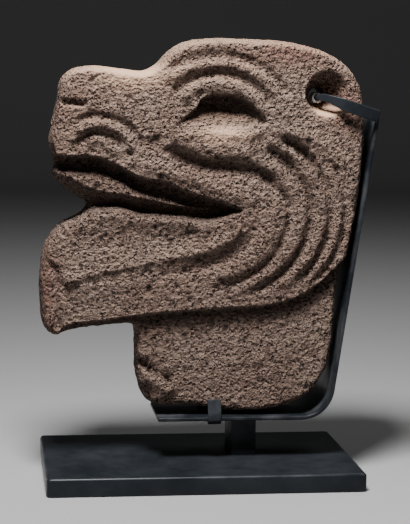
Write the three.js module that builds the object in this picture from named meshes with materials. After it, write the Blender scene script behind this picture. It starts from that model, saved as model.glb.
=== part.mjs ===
// A carved stone hacha, an open-muzzled animal head on a plain tenon block, held by its metal stand.
// Millimetres, +Z up. The origin is the middle of the stand's underside; the head looks towards -X and
// its shown face towards -Y. Lists of two numbers are [x, z] on the profile.
import * as THREE from 'three';
import { ConvexHull } from 'three/addons/math/ConvexHull.js';

// Stand
const BASE = { width: 220, depth: 137, height: 12.8, corner: 2.5, edge: 1.4, foot: 0.4 };
const POST = { x: 32.9, width: 17.8, depth: 34 };
const STRAP = { leftEnd: -30, underside: 40.1, topEnd: 255, width: 58, thickness: 2.6, bend: 24 };
const STRAP_LEAN = { x: 93.4, angle: THREE.MathUtils.degToRad(8.1), steps: 9 };
const CLIP = {
  x: 10, width: 9.5, thickness: 1.8, prongFoot: 1.2, prongRise: 12.5, prongLean: 4, bend: 1.6, steps: 4,
};
const PIN = { x: 80.8, z: 268.6, radius: 1.8, farEnd: 4 };
const SLEEVE = { outer: 3.85, wall: 1.7, near: -8.5, far: 2.5, sides: 16 };
const GAP = 0.3;

// Stone
const MIDDLE = 11;
const THICK = { snout: 48, back: 62, snoutX: -112, backX: 114 };
const TENON_RECESS = 6;
const TENON_STEP = 2;
const EDGE_ROUND = 7;
const BACK_RELIEF = 0.85;
const HOLE = {
  x: 81.5, z: 269.5, neck: 6.2, neckHalf: 3.5, mouthX: 86.5, mouthZ: 271.8, mouth: 15.4, flare: 0.8,
};

// Profile of the whole stone, anticlockwise seen from the front: head, tenon, jaw, chin, mouth, snout
const OUTLINE = [
  [-99, 279], [-90.5, 287], [-76, 289.5], [-54, 287.5], [-41, 286.5], [-31.5, 291], [-22.5, 300.5],
  [-12, 306.5], [2, 309.3], [26, 309.5], [52, 308.7], [71, 305.8], [88, 300.5], [101, 292.5],
  [110, 281.5], [114.5, 267], [116, 242], [111.8, 192], [107.8, 168], [105.3, 156], [100.5, 142],
  [98, 111], [95.7, 86], [90.5, 70.5], [77.5, 54.6], [60, 47], [29, 43.4], [-8, 48], [-28, 48.3],
  [-38.5, 53.5], [-44.5, 70], [-45.5, 87], [-46, 103], [-48, 106.5], [-53, 107], [-71, 105],
  [-89, 102.8], [-103.5, 100], [-110.5, 106.5], [-113, 124], [-112.6, 148], [-109, 164], [-99, 178],
  [-83.5, 186.5], [-80.5, 192.5], [-88, 197.3], [-99.5, 206], [-104.4, 213], [-103.2, 220.5],
  [-107, 235], [-105.5, 246], [-101.5, 265],
].reverse();
const OUTLINE_STEP = 6.8;
const MOUTH_OPENING = { x: -70, bottom: 172, top: 236 };
const EDGE_INSETS = [0.5, 2.6, EDGE_ROUND];

// The head's lower edge: below it the stone steps back to the tenon
const HEAD_EDGE = [
  [-99, 94], [-97.5, 104], [-91, 108.5], [-78, 110], [-36, 115.5], [16, 119.5], [45, 121.5],
  [66, 126.5], [80, 134.5], [94, 147.5], [104, 156.5], [116, 166.5],
];

// Hollows between a top and a bottom line: the open mouth, the tongue that stands in it, and the eye
const MOUTH = {
  top: [
    [-114, 228], [-93, 226], [-75, 226], [-62, 221], [-43, 211], [-27, 209], [-9, 201], [6, 197], [27, 190],
  ],
  bottom: [
    [-112, 170], [-102, 178], [-85, 187], [-75, 189], [-58, 190], [-44, 186], [-19, 184], [5, 182],
    [27, 189],
  ],
  depth: 13,
  wall: 3,
};
const TONGUE = {
  top: [
    [-112, 224], [-92.5, 221.5], [-75, 220.5], [-61, 216.5], [-47, 209.5], [-30, 203], [-12.5, 198],
    [5, 194], [24, 189.5],
  ],
  bottom: [
    [-112, 212], [-98, 204.5], [-88, 198.5], [-78, 195], [-64, 192], [-50, 190], [-33, 188],
    [-16, 186.2], [2, 186], [22, 188],
  ],
  rise: 10.5,
  rounding: 10,
};
const EYE = {
  top: [
    [-30, 240], [-20, 250], [-12, 255.5], [-5, 261], [-1, 267.5], [7, 269.5], [18, 270], [28, 267],
    [37, 260], [45, 252.5], [62, 248],
  ],
  bottom: [[-32, 239.5], [-13, 244.5], [2, 244], [18, 242.5], [32, 243.5], [46, 246], [62, 247.5]],
  depth: 15,
  wall: 3,
  slope: 26,
};

// Bands cut as elliptical arches. Each has its height over the face, its half width, its reach to the
// back and to the front, its rise, its drop, and the angles where it starts and ends
const BROW = {
  centre: [10, 245],
  bands: [
    { height: 2.2, spread: 4.6, back: 35, front: 33, rise: 32.5, drop: 32.5, from: 140, to: 14 },
    { height: -2.8, spread: 3, back: 41, front: 40, rise: 40, drop: 40, from: 142, to: 20 },
    { height: 2.2, spread: 4.6, back: 48.5, front: 56, rise: 46, drop: 46, from: 134, to: 2 },
    { height: -2.6, spread: 3, back: 55.5, front: 59, rise: 51.8, drop: 51.8, from: 126, to: 24 },
  ],
};
const SCROLL = {
  centre: [-73.5, 221.5],
  bands: [
    { height: 1.8, spread: 3.2, back: 13, front: 12, rise: 15.7, drop: 15.7, from: 165, to: 15 },
    { height: -2.6, spread: 2.3, back: 20.5, front: 17.4, rise: 21, drop: 21, from: 146, to: 30 },
    { height: 2, spread: 3.2, back: 27, front: 22, rise: 27.2, drop: 27.2, from: 150, to: 12 },
    { height: -2.6, spread: 2.5, back: 34, front: 30, rise: 33, drop: 33, from: 122, to: 20 },
  ],
};
const CHEEK = {
  centre: [3, 187],
  bands: [
    { height: 1.8, spread: 5.2, back: 47, front: 47, rise: 22, drop: 44.5, from: 20, to: -92 },
    { height: -2.8, spread: 2.4, back: 58, front: 58, rise: 34.5, drop: 52, from: 52, to: -84 },
    { height: 1.8, spread: 4.8, back: 65.5, front: 65.5, rise: 44.5, drop: 56.5, from: 52, to: -78 },
    { height: -3.4, spread: 2.6, back: 73.7, front: 73.7, rise: 52, drop: 61, from: 56, to: -68 },
    { height: 1.8, spread: 4.6, back: 81, front: 81, rise: 63.5, drop: 65.3, from: 52, to: -58 },
    { height: -3.4, spread: 2.6, back: 88, front: 88, rise: 66, drop: 69.5, from: 54, to: -48 },
    { height: 1.8, spread: 4.8, back: 93.3, front: 93.3, rise: 88, drop: 72, from: 22, to: -46 },
    { height: -2.8, spread: 2.4, back: 98.3, front: 98.3, rise: 84, drop: 74.5, from: 26, to: -42 },
  ],
};

// Single raised and sunk lines: height over the face, half width, how much of each end fades, points
const LINES = [
  {
    name: 'upper lip', height: 2.2, spread: 5, fade: [0.1, 0.05],
    line: [[-57, 225], [-44, 219], [-27, 217], [-2, 209], [15, 203], [40, 195]],
  },
  {
    name: 'groove under the cheek', height: -5, spread: 4.6, fade: [0.15, 0.15],
    line: [
      [-27, 234], [-16, 227], [-5, 222.5], [5, 220], [18, 219.5], [30, 217.5], [39.5, 215.5],
      [47.5, 211], [53, 204],
    ],
  },
  {
    name: 'cheek', height: 2, spread: 7, fade: [0.1, 0.1],
    line: [[-19, 236], [8, 232], [36, 233]],
  },
  {
    name: 'lower lid', height: 2.2, spread: 4.4, fade: [0.1, 0.05],
    line: [[-28, 237], [-14, 242], [2, 243], [18, 242], [32, 243], [44, 246]],
  },
  {
    name: 'outer cheek band', height: 2.4, spread: 4.4, fade: [0.1, 0.2],
    line: [
      [44, 246], [58, 245], [70, 241.8], [82, 236.5], [91.5, 228.5], [98.5, 218], [102.7, 204],
      [104, 188],
    ],
  },
  {
    name: 'jaw rim', height: 1.2, spread: 4.5, fade: [0.1, 0.1],
    line: [[-100, 173], [-82, 184], [-58, 185], [-30, 181], [-2, 178], [20, 180]],
  },
  {
    name: 'jaw panel', height: -1.6, spread: 8, fade: [0.2, 0.1],
    line: [[-98, 160], [-60, 168], [-30, 168], [2, 171]],
  },
  {
    name: 'lower lip', height: 2.2, spread: 3.4, fade: [0.04, 0.02],
    line: [
      [-99, 139], [-92, 140.5], [-77, 145], [-48, 151], [-18, 157], [4, 162.5], [15, 167.5],
      [23.5, 173], [27, 180],
    ],
  },
  {
    name: 'bulb of the lower lip', height: 1.8, spread: 5, fade: [0.2, 0.3],
    line: [[-96, 139], [-84, 141]],
  },
  {
    name: 'jaw below the lip', height: 1.3, spread: 8, fade: [0.1, 0.4],
    line: [[-92, 130], [-48, 140], [-18, 146], [4, 151]],
  },
  {
    name: 'hollow at the mouth corner', height: -2.8, spread: 4.6, fade: [0.6, 0.15],
    line: [[-60, 139], [-30, 143], [4, 151], [22, 160], [33, 170], [37, 184]],
  },
  {
    name: 'nostril', height: -2.6, spread: 2.2, fade: [0.05, 0.2],
    line: [[-103, 266.5], [-96, 263.5], [-80, 262]],
  },
  {
    name: 'fold before the cheek', height: -2.2, spread: 2.6, fade: [0.2, 0.2],
    line: [[-33, 243], [-31, 234], [-26, 227]],
  },
  {
    name: 'groove behind the chin', height: -2.2, spread: 2.6, fade: [0.1, 0.1],
    line: [[-113, 156], [-105, 150], [-101, 143], [-100.5, 128], [-99.5, 112], [-97, 104]],
  },
  {
    name: 'knob under the chin', height: 1.8, spread: 6.5, fade: [0.1, 0.1],
    line: [[-107, 112], [-103, 111]],
  },
  {
    name: 'break in the tenon corner', height: -3.2, spread: 3.2, fade: [0.05, 0.3],
    line: [[-48, 82], [-38, 78.5], [-26, 71.5], [-14, 64]],
  },
  {
    name: 'lump under the break', height: 2.2, spread: 5.5, fade: [0.15, 0.2],
    line: [[-44, 70], [-36, 70], [-25, 64], [-17, 58]],
  },
];
const BAND_FADE = [0.05, 0.12];

// Spacing of the face's corners: along carved lines, between rows of them, and over the plain stone
const FEATURE_STEP = 5.4;
const FEATURE_GAP = 2.3;
const MOUTH_GAP = 1.5;
const FOOT_GAP = 3.2;
const FIELD_STEP = 8;
const FIELD_GAP = 5;
const FINE_STEP = 3;

// Rows at the foot of a carved line, in its half widths, and beside the outermost band of a family
const LINE_FOOT = 1.6;
const FAMILY_FOOT = 4.6;

// The perforation's rings: their share of the way from its neck to its mouth, and their corners
const HOLE_CLEARANCE = 2;
const HOLE_RINGS = [[0, 16], [0.3, 16], [0.65, 18], [1, 20]];

// Turning of diagonals: how often, the gain that counts, and the slimmest triangle allowed
const TURN_PASSES = 6;
const TURN_GAIN = 0.999;
const SLIMMEST = 0.2;

const { smoothstep, degToRad, lerp, clamp } = THREE.MathUtils;

// A smooth line through [x, z] points as evenly spaced samples
function sampleLine(points, step, closed = false) {
  const corners = points.map(([x, z]) => new THREE.Vector3(x, 0, z));
  const curve = new THREE.CatmullRomCurve3(corners, closed, 'centripetal');
  const count = Math.max(2, Math.round(curve.getLength() / step));
  const samples = [];
  for (let i = 0; i < (closed ? count : count + 1); i += 1) {
    const at = curve.getPointAt(i / count);
    samples.push({ x: at.x, z: at.z, along: i / count });
  }
  return samples;
}

// An elliptical arch as evenly spaced samples
function sampleArch(centre, band, step) {
  const points = [];
  const steps = 14;
  for (let i = 0; i <= steps; i += 1) {
    const angle = degToRad(lerp(band.from, band.to, i / steps));
    const reach = Math.cos(angle) < 0 ? band.front : band.back;
    const climb = Math.sin(angle) < 0 ? band.drop : band.rise;
    points.push([centre[0] + reach * Math.cos(angle), centre[1] + climb * Math.sin(angle)]);
  }
  return sampleLine(points, step);
}

// Nearest place on a sampled line: its distance, its position along, and its side, positive to the left
function nearest(samples, x, z, closed = false) {
  const best = { distance: Infinity };
  const last = closed ? samples.length : samples.length - 1;
  for (let i = 0; i < last; i += 1) {
    const a = samples[i];
    const b = samples[(i + 1) % samples.length];
    const dx = b.x - a.x;
    const dz = b.z - a.z;
    const t = clamp(((x - a.x) * dx + (z - a.z) * dz) / (dx * dx + dz * dz), 0, 1);
    const distance = Math.hypot(x - a.x - t * dx, z - a.z - t * dz);
    if (distance < best.distance) {
      best.distance = distance;
      best.along = lerp(a.along, b.along, t);
      best.side = Math.sign(dx * (z - a.z) - dz * (x - a.x));
    }
  }
  return best;
}

const fadeEnds = (along, [start, end]) => smoothstep(along, 0, start) * smoothstep(1 - along, 0, end);
const bell = (distance, spread) => Math.exp(-((distance / spread) ** 2));

// The outline has twice as many corners where the mouth opens through the front edge
const isAtMouth = ({ x, z }) => x < MOUTH_OPENING.x && z > MOUTH_OPENING.bottom && z < MOUTH_OPENING.top;
const outline = sampleLine(OUTLINE, OUTLINE_STEP / 2, true).filter((p, i) => i % 2 === 0 || isAtMouth(p));
const fineOutline = sampleLine(OUTLINE, FINE_STEP * 0.7, true);
const headEdge = sampleLine(HEAD_EDGE, FINE_STEP);
const hollow = ({ top, bottom }) => ({
  top: sampleLine(top, FINE_STEP),
  bottom: sampleLine(bottom, FINE_STEP),
});
const mouth = hollow(MOUTH);
const tongue = hollow(TONGUE);
const eye = hollow(EYE);
const reliefLines = LINES.map((item) => ({ ...item, samples: sampleLine(item.line, FINE_STEP) }));
for (const family of [BROW, SCROLL, CHEEK]) {
  for (const band of family.bands) {
    const samples = sampleArch(family.centre, band, FINE_STEP);
    reliefLines.push({ height: band.height, spread: band.spread, fade: BAND_FADE, samples });
  }
}

// The line midway between the tongue's top and bottom lines
function tongueCrest() {
  return sampleLine(TONGUE.top, FEATURE_STEP).map(({ x, z }) => {
    const offset = (p) => Math.abs(p.x - x);
    const below = tongue.bottom.reduce((best, p) => (offset(p) < offset(best) ? p : best));
    return { x, z: (z + below.z) / 2 };
  });
}

// How far a place lies under or over a line that runs from the front to the back
function over(samples, x, z) {
  const near = nearest(samples, x, z);
  return near.side * near.distance;
}
const under = (samples, x, z) => -over(samples, x, z);
const mouthInset = (x, z) => Math.min(under(mouth.top, x, z), over(mouth.bottom, x, z));

// The carving: how far the face stands over or under its plane
function relief(x, z) {
  let height = 0;
  for (const item of reliefLines) {
    const near = nearest(item.samples, x, z);
    height += item.height * bell(near.distance, item.spread) * fadeEnds(near.along, item.fade);
  }
  const inMouth = smoothstep(mouthInset(x, z), -MOUTH.wall / 3, MOUTH.wall);
  const tongueInset = Math.min(under(tongue.top, x, z), over(tongue.bottom, x, z));
  const onTongue = smoothstep(tongueInset, 0, TONGUE.rounding);
  height = height * (1 - inMouth) - MOUTH.depth * inMouth + TONGUE.rise * onTongue * inMouth;
  const wall = smoothstep(under(eye.top, x, z), 0, EYE.wall);
  return height - EYE.depth * wall * smoothstep(over(eye.bottom, x, z), 0, EYE.slope);
}

// Half of the stone's thickness at a place of its profile
function halfThickness(x, z, share) {
  const edge = nearest(fineOutline, x, z, true);
  const wedge = lerp(THICK.snout, THICK.back, smoothstep(x, THICK.snoutX, THICK.backX)) / 2;
  const step = nearest(headEdge, x, z);
  const below = smoothstep(-step.side * step.distance, -TENON_STEP, TENON_STEP);
  const rounding = Math.min(1, edge.distance / EDGE_ROUND);
  const full = wedge - TENON_RECESS * below + share * relief(x, z);
  const half = full * Math.cbrt(1 - (1 - rounding) ** 3);
  const spread = Math.hypot(x - HOLE.x, z - HOLE.z);
  const mouthSpread = Math.hypot(x - HOLE.mouthX, z - HOLE.mouthZ);
  if (mouthSpread >= HOLE.mouth) return half;
  const reach = (spread - HOLE.neck) / (spread - HOLE.neck + HOLE.mouth - mouthSpread);
  return lerp(HOLE.neckHalf, half, Math.max(0, reach) ** HOLE.flare);
}

// Places on the profile where the faces get their corners: the outline, insets of it, both sides of
// every carved line, the rings of the perforation, and a field of points between them
function placePoints() {
  const points = outline.map((p) => ({ x: p.x, z: p.z, rim: true }));
  const isFree = (x, z, gap) => points.every((p) => Math.hypot(p.x - x, p.z - z) >= gap);
  const inHole = (x, z) => Math.hypot(x - HOLE.mouthX, z - HOLE.mouthZ) < HOLE.mouth + HOLE_CLEARANCE;
  const inside = (x, z, inset) => {
    const edge = nearest(fineOutline, x, z, true);
    return edge.side > 0 && edge.distance >= inset;
  };
  const offsetPoint = (p, last, next, offset) => {
    const length = Math.hypot(next.x - last.x, next.z - last.z);
    return [p.x - (offset * (next.z - last.z)) / length, p.z + (offset * (next.x - last.x)) / length];
  };
  for (const inset of EDGE_INSETS) {
    const gap = inset < EDGE_ROUND ? 0 : FEATURE_GAP;
    outline.forEach((p, i) => {
      const next = outline[(i + 1) % outline.length];
      const last = outline[(i + outline.length - 1) % outline.length];
      const [x, z] = offsetPoint(p, last, next, inset);
      if (inside(x, z, inset * 0.9) && isFree(x, z, gap)) points.push({ x, z });
    });
  }
  for (const [share, count] of HOLE_RINGS) {
    for (let i = 0; i < count; i += 1) {
      const angle = (2 * Math.PI * (i + share)) / count;
      const radius = lerp(HOLE.neck, HOLE.mouth, share);
      const x = lerp(HOLE.x, HOLE.mouthX, share) + radius * Math.cos(angle);
      const z = lerp(HOLE.z, HOLE.mouthZ, share) + radius * Math.sin(angle);
      points.push({ x, z, neck: share === 0 });
    }
  }
  const row = (samples, offset, gap = FEATURE_GAP, mayUse = () => true) => {
    samples.forEach((p, i) => {
      const next = samples[Math.min(i + 1, samples.length - 1)];
      const last = samples[Math.max(i - 1, 0)];
      const [x, z] = offsetPoint(p, last, next, offset);
      if (inHole(x, z) || !inside(x, z, EDGE_ROUND / 2) || !mayUse(x, z)) return;
      if (isFree(x, z, gap)) points.push({ x, z });
    });
  };
  const coarse = (line) => sampleLine(line, FEATURE_STEP);
  for (const side of [-1, 1]) row(coarse(HEAD_EDGE), side * TENON_STEP);
  row(coarse(MOUTH.top), MOUTH.wall / 3, MOUTH_GAP);
  row(coarse(MOUTH.bottom), -MOUTH.wall / 3, MOUTH_GAP);
  row(coarse(TONGUE.top), 0, MOUTH_GAP);
  row(coarse(TONGUE.bottom), 0, MOUTH_GAP);
  row(tongueCrest(), 0);
  row(coarse(EYE.top), 0);
  row(coarse(EYE.top), -EYE.wall);
  row(coarse(EYE.bottom), 0);
  for (const item of LINES) row(coarse(item.line), 0);
  for (const family of [BROW, SCROLL, CHEEK]) {
    for (const band of family.bands) row(sampleArch(family.centre, band, FEATURE_STEP), 0);
    row(sampleArch(family.centre, family.bands.at(-1), FEATURE_STEP), FAMILY_FOOT);
  }
  const besideMouth = (x, z) => mouthInset(x, z) < -MOUTH.wall;
  for (const { line, spread } of LINES) {
    for (const side of [-LINE_FOOT, LINE_FOOT]) row(coarse(line), side * spread, FOOT_GAP, besideMouth);
  }
  const box = new THREE.Box3().setFromPoints(outline.map((p) => new THREE.Vector3(p.x, 0, p.z)));
  const rowStep = FIELD_STEP * Math.sin(Math.PI / 3);
  for (let j = 0; box.min.z + j * rowStep < box.max.z; j += 1) {
    for (let i = 0; box.min.x + i * FIELD_STEP < box.max.x; i += 1) {
      const x = box.min.x + FIELD_STEP * (i + (j % 2) / 2);
      const z = box.min.z + rowStep * j;
      if (!inHole(x, z) && inside(x, z, EDGE_ROUND) && isFree(x, z, FIELD_GAP)) points.push({ x, z });
    }
  }
  return points;
}

// Delaunay triangles of the places: the lower hull of the same places lifted onto a paraboloid
function triangulate(points) {
  const scale = 0.01;
  const middleHeight = 180;
  const nudge = 1e-4;
  const lifted = points.map((p, i) => {
    const u = scale * (p.x + nudge * Math.sin(i * 12.9));
    const v = scale * (p.z - middleHeight + nudge * Math.cos(i * 7.3));
    const corner = new THREE.Vector3(u, v, u * u + v * v);
    corner.index = i;
    return corner;
  });
  const hull = new ConvexHull().setFromPoints(lifted);
  const triangles = [];
  for (const face of hull.faces) {
    const corners = [0, 1, 2].map((k) => face.getEdge(k).head().point.index);
    if (face.normal.z >= 0) continue;
    const [a, b, c] = corners.map((k) => points[k]);
    const x = (a.x + b.x + c.x) / 3;
    const z = (a.z + b.z + c.z) / 3;
    const isOutside = nearest(outline, x, z, true).side < 0;
    const isInNeck = a.neck && b.neck && c.neck;
    const turn = (b.x - a.x) * (c.z - a.z) - (b.z - a.z) * (c.x - a.x);
    if (isOutside || isInNeck) continue;
    triangles.push(turn > 0 ? corners : [corners[0], corners[2], corners[1]]);
  }
  return triangles;
}

// Turns the diagonals between neighbouring triangles so that they follow the carving: of the two ways
// across a pair it takes the one that folds the face less, as fold angles times edge lengths
function followCarving(points, triangles) {
  const corners = points.map((p) => {
    const half = p.rim ? 0 : p.neck ? HOLE.neckHalf : halfThickness(p.x, p.z, 1);
    return new THREE.Vector3(p.x, p.z, half);
  });
  const normalOf = (...list) => {
    const face = new THREE.Triangle(...list.map((i) => corners[i]));
    return face.getNormal(new THREE.Vector3());
  };
  const normals = triangles.map((list) => normalOf(...list));
  const owner = new Map();
  const key = (a, b) => a * points.length + b;
  const claim = (t) => triangles[t].forEach((a, k) => owner.set(key(a, triangles[t][(k + 1) % 3]), t));
  triangles.forEach((_, t) => claim(t));
  const flatLength = (a, b) => Math.hypot(points[a].x - points[b].x, points[a].z - points[b].z);
  const slimness = (a, b, c) => {
    const [p, q, r] = [points[a], points[b], points[c]];
    const turn = (q.x - p.x) * (r.z - p.z) - (q.z - p.z) * (r.x - p.x);
    return turn / Math.max(flatLength(a, b), flatLength(b, c), flatLength(c, a)) ** 2;
  };
  const fold = (a, b, one, other) => corners[a].distanceTo(corners[b]) * one.angleTo(other);
  const outer = (a, b, inner) => {
    const beyond = owner.get(key(b, a));
    return beyond === undefined ? 0 : fold(a, b, inner, normals[beyond]);
  };
  for (let pass = 0; pass < TURN_PASSES; pass += 1) {
    for (const near of triangles.keys()) {
      for (let k = 0; k < 3; k += 1) {
        const [a, b, c] = [0, 1, 2].map((j) => triangles[near][(k + j) % 3]);
        const far = owner.get(key(b, a));
        const d = far === undefined ? c : triangles[far].find((i) => i !== a && i !== b);
        const isSlim = Math.min(slimness(a, d, c), slimness(d, b, c)) < SLIMMEST;
        if (isSlim || (points[c].rim && points[d].rim)) continue;
        const left = normalOf(a, d, c);
        const right = normalOf(d, b, c);
        const now = fold(a, b, normals[near], normals[far]) + outer(b, c, normals[near])
          + outer(c, a, normals[near]) + outer(a, d, normals[far]) + outer(d, b, normals[far]);
        const turned = fold(c, d, left, right) + outer(b, c, right) + outer(c, a, left)
          + outer(a, d, left) + outer(d, b, right);
        if (turned >= now * TURN_GAIN) continue;
        owner.delete(key(a, b));
        owner.delete(key(b, a));
        triangles[near] = [a, d, c];
        triangles[far] = [d, b, c];
        normals[near] = left;
        normals[far] = right;
        claim(near);
        claim(far);
      }
    }
  }
  return triangles;
}

// The stone: the same triangles on the near and the far face, meeting at the rim and through the neck
function makeStone() {
  const points = placePoints();
  const triangles = followCarving(points, triangulate(points));
  const position = [];
  const index = [];
  const far = [];
  points.forEach((p, i) => {
    const half = p.rim ? 0 : p.neck ? HOLE.neckHalf : halfThickness(p.x, p.z, 1);
    position.push(p.x, MIDDLE - half, p.z);
    far[i] = i;
  });
  points.forEach((p, i) => {
    if (p.rim) return;
    far[i] = position.length / 3;
    const half = p.neck ? HOLE.neckHalf : halfThickness(p.x, p.z, BACK_RELIEF);
    position.push(p.x, MIDDLE + half, p.z);
  });
  for (const [a, b, c] of triangles) {
    index.push(a, b, c, far[a], far[c], far[b]);
  }
  const neck = points.flatMap((p, i) => (p.neck ? [i] : []));
  neck.forEach((a, i) => {
    const b = neck[(i + 1) % neck.length];
    index.push(a, b, far[b], a, far[b], far[a]);
  });
  const geometry = new THREE.BufferGeometry();
  geometry.setAttribute('position', new THREE.Float32BufferAttribute(position, 3));
  geometry.setIndex(index);
  return geometry;
}

// A solid through closed rings of corners, each ring a list of Vector3, capped at both ends
function loft(rings) {
  const count = rings[0].length;
  const position = rings.flat().flatMap((p) => [p.x, p.y, p.z]);
  const index = [];
  for (let r = 0; r + 1 < rings.length; r += 1) {
    for (let i = 0; i < count; i += 1) {
      const a = r * count + i;
      const b = r * count + ((i + 1) % count);
      index.push(a, b, b + count, a, b + count, a + count);
    }
  }
  const last = (rings.length - 1) * count;
  for (let i = 1; i + 1 < count; i += 1) {
    index.push(0, i + 1, i, last, last + i, last + i + 1);
  }
  const geometry = new THREE.BufferGeometry();
  geometry.setAttribute('position', new THREE.Float32BufferAttribute(position, 3));
  geometry.setIndex(index);
  return geometry;
}

// A round-cornered rectangle of corners at one height
function plateRing(width, depth, corner, inset, z) {
  const ring = [];
  const steps = 4;
  for (let quarter = 0; quarter < 4; quarter += 1) {
    for (let i = 0; i < steps; i += 1) {
      const angle = (Math.PI / 2) * (quarter + i / (steps - 1));
      const signX = quarter === 0 || quarter === 3 ? 1 : -1;
      const signY = quarter < 2 ? 1 : -1;
      const x = signX * (width / 2 - corner) + (corner - inset) * Math.cos(angle);
      const y = signY * (depth / 2 - corner) + (corner - inset) * Math.sin(angle);
      ring.push(new THREE.Vector3(x, y, z));
    }
  }
  return ring;
}

function makeBase() {
  const { width, depth, corner, edge, foot, height } = BASE;
  const ring = (inset, z) => plateRing(width, depth, corner, inset, z);
  return loft([
    ring(foot, 0),
    ring(0, foot),
    ring(0, height - edge),
    ring(edge * 0.3, height - edge * 0.3),
    ring(edge, height),
  ]);
}

// A strip of even thickness bent along a path of [u, v] points, as the outline of its side
function bentStrip(path, thickness) {
  const sides = [-1, 1].map((side) => path.map((p, i) => {
    const next = path[Math.min(i + 1, path.length - 1)];
    const last = path[Math.max(i - 1, 0)];
    const length = Math.hypot(next[0] - last[0], next[1] - last[1]);
    const offset = (side * thickness) / (2 * length);
    return new THREE.Vector2(p[0] - offset * (next[1] - last[1]), p[1] + offset * (next[0] - last[0]));
  }));
  return new THREE.Shape([...sides[0], ...sides[1].reverse()]);
}

// Points of a bend of one radius that turns from one heading to another
function bendPoints(centre, radius, from, to, steps) {
  return Array.from({ length: steps + 1 }, (_, i) => {
    const angle = lerp(from, to, i / steps);
    return [centre[0] + radius * Math.cos(angle), centre[1] + radius * Math.sin(angle)];
  });
}

function makeStrap() {
  const { leftEnd, underside, topEnd, width, thickness, bend } = STRAP;
  const middle = underside + thickness / 2;
  const radius = bend - thickness / 2;
  const turn = Math.PI / 2 - STRAP_LEAN.angle;
  const start = STRAP_LEAN.x - bend * Math.tan(turn / 2);
  const centre = [start, underside + bend];
  const corner = bendPoints(centre, radius, -Math.PI / 2, -STRAP_LEAN.angle, STRAP_LEAN.steps);
  const [x, z] = corner.at(-1);
  const top = [x + (topEnd - z) * Math.tan(STRAP_LEAN.angle), topEnd];
  const shape = bentStrip([[leftEnd, middle], ...corner, top], thickness);
  const geometry = new THREE.ExtrudeGeometry(shape, { depth: width, bevelEnabled: false });
  geometry.rotateX(Math.PI / 2);
  geometry.translate(0, MIDDLE + width / 2, 0);
  return geometry;
}

function makeClip() {
  const { width, thickness, prongFoot, prongRise, prongLean, bend } = CLIP;
  const cradleTop = STRAP.underside + STRAP.thickness;
  const middle = STRAP.underside - GAP - thickness / 2;
  const reach = STRAP.width / 2 + GAP + thickness / 2;
  const prong = (side) => {
    const centre = [side * (reach - bend), middle + bend];
    const from = side > 0 ? -Math.PI / 2 : -Math.PI;
    const points = bendPoints(centre, bend, from, from + Math.PI / 2, CLIP.steps);
    const shoulder = [side * reach, cradleTop + prongFoot];
    const tip = [side * (reach - prongLean), cradleTop + prongRise];
    return side > 0 ? [...points, shoulder, tip] : [tip, shoulder, ...points];
  };
  const shape = bentStrip([...prong(-1), ...prong(1)], thickness);
  const geometry = new THREE.ExtrudeGeometry(shape, { depth: width, bevelEnabled: false });
  geometry.rotateX(Math.PI / 2);
  geometry.rotateZ(Math.PI / 2);
  geometry.translate(CLIP.x - width / 2, MIDDLE, 0);
  return geometry;
}

// The arm: a blade from the strap's top that comes round the near face, narrows and turns into the hole
const ARM = {
  path: [
    [122.6, -19.4, 256.2], [116, -22.4, 258.2], [107, -24.8, 261], [98, -24.4, 264], [90, -20.8, 267.2],
    [85.2, -16.6, 268.8], [82, -12.6, 268.8], [PIN.x, -9.6, PIN.z], [PIN.x, -5, PIN.z],
    [PIN.x, PIN.farEnd, PIN.z],
  ],
  height: 8.4,
  tipHeight: 5.2,
  thickness: 2,
  sides: 12,
  steps: 30,
  narrowFrom: 0.36,
  narrowTo: 0.66,
  roundFrom: 0.66,
  roundTo: 0.76,
  squareness: 0.25,
};

function makeArm() {
  const corners = ARM.path.map((p) => new THREE.Vector3(...p));
  const curve = new THREE.CatmullRomCurve3(corners, false, 'centripetal');
  const rings = [];
  for (let i = 0; i <= ARM.steps; i += 1) {
    const at = curve.getPointAt(i / ARM.steps);
    const heading = curve.getTangentAt(i / ARM.steps);
    const up = new THREE.Vector3(0, 0, 1).addScaledVector(heading, -heading.z).normalize();
    const out = new THREE.Vector3().crossVectors(heading, up);
    const round = smoothstep(i / ARM.steps, ARM.roundFrom, ARM.roundTo);
    const narrow = smoothstep(i / ARM.steps, ARM.narrowFrom, ARM.narrowTo);
    const tall = lerp(lerp(ARM.height, ARM.tipHeight, narrow) / 2, PIN.radius, round);
    const thick = lerp(ARM.thickness / 2, PIN.radius, round);
    const power = lerp(ARM.squareness, 1, round);
    rings.push(Array.from({ length: ARM.sides }, (_, k) => {
      const angle = (2 * Math.PI * (k + 0.5)) / ARM.sides;
      const a = Math.cos(angle);
      const b = Math.sin(angle);
      return at.clone()
        .addScaledVector(up, tall * Math.sign(a) * Math.abs(a) ** power)
        .addScaledVector(out, thick * Math.sign(b) * Math.abs(b) ** power);
    }));
  }
  return loft(rings);
}

function makeSleeve() {
  const { outer, wall, near, far, sides } = SLEEVE;
  const inner = outer - wall;
  const profile = [[inner, near], [outer, near], [outer, far], [inner, far], [inner, near]];
  const geometry = new THREE.LatheGeometry(profile.map((p) => new THREE.Vector2(...p)), sides);
  geometry.translate(PIN.x, 0, PIN.z);
  return geometry;
}

const STONE_FINISH = { color: 0x8a6a5a, roughness: 0.95, metalness: 0 };
const METAL_FINISH = { color: 0x17191c, roughness: 0.45, metalness: 0.1 };
const SLEEVE_FINISH = { color: 0xc9ccd0, roughness: 0.5, metalness: 0 };

const hacha = new THREE.Group();
function addPiece(name, geometry, finish, [x, y, z] = [0, 0, 0]) {
  const mesh = new THREE.Mesh(geometry, new THREE.MeshStandardMaterial(finish));
  mesh.name = name;
  mesh.position.set(x, y, z);
  hacha.add(mesh);
}

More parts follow.
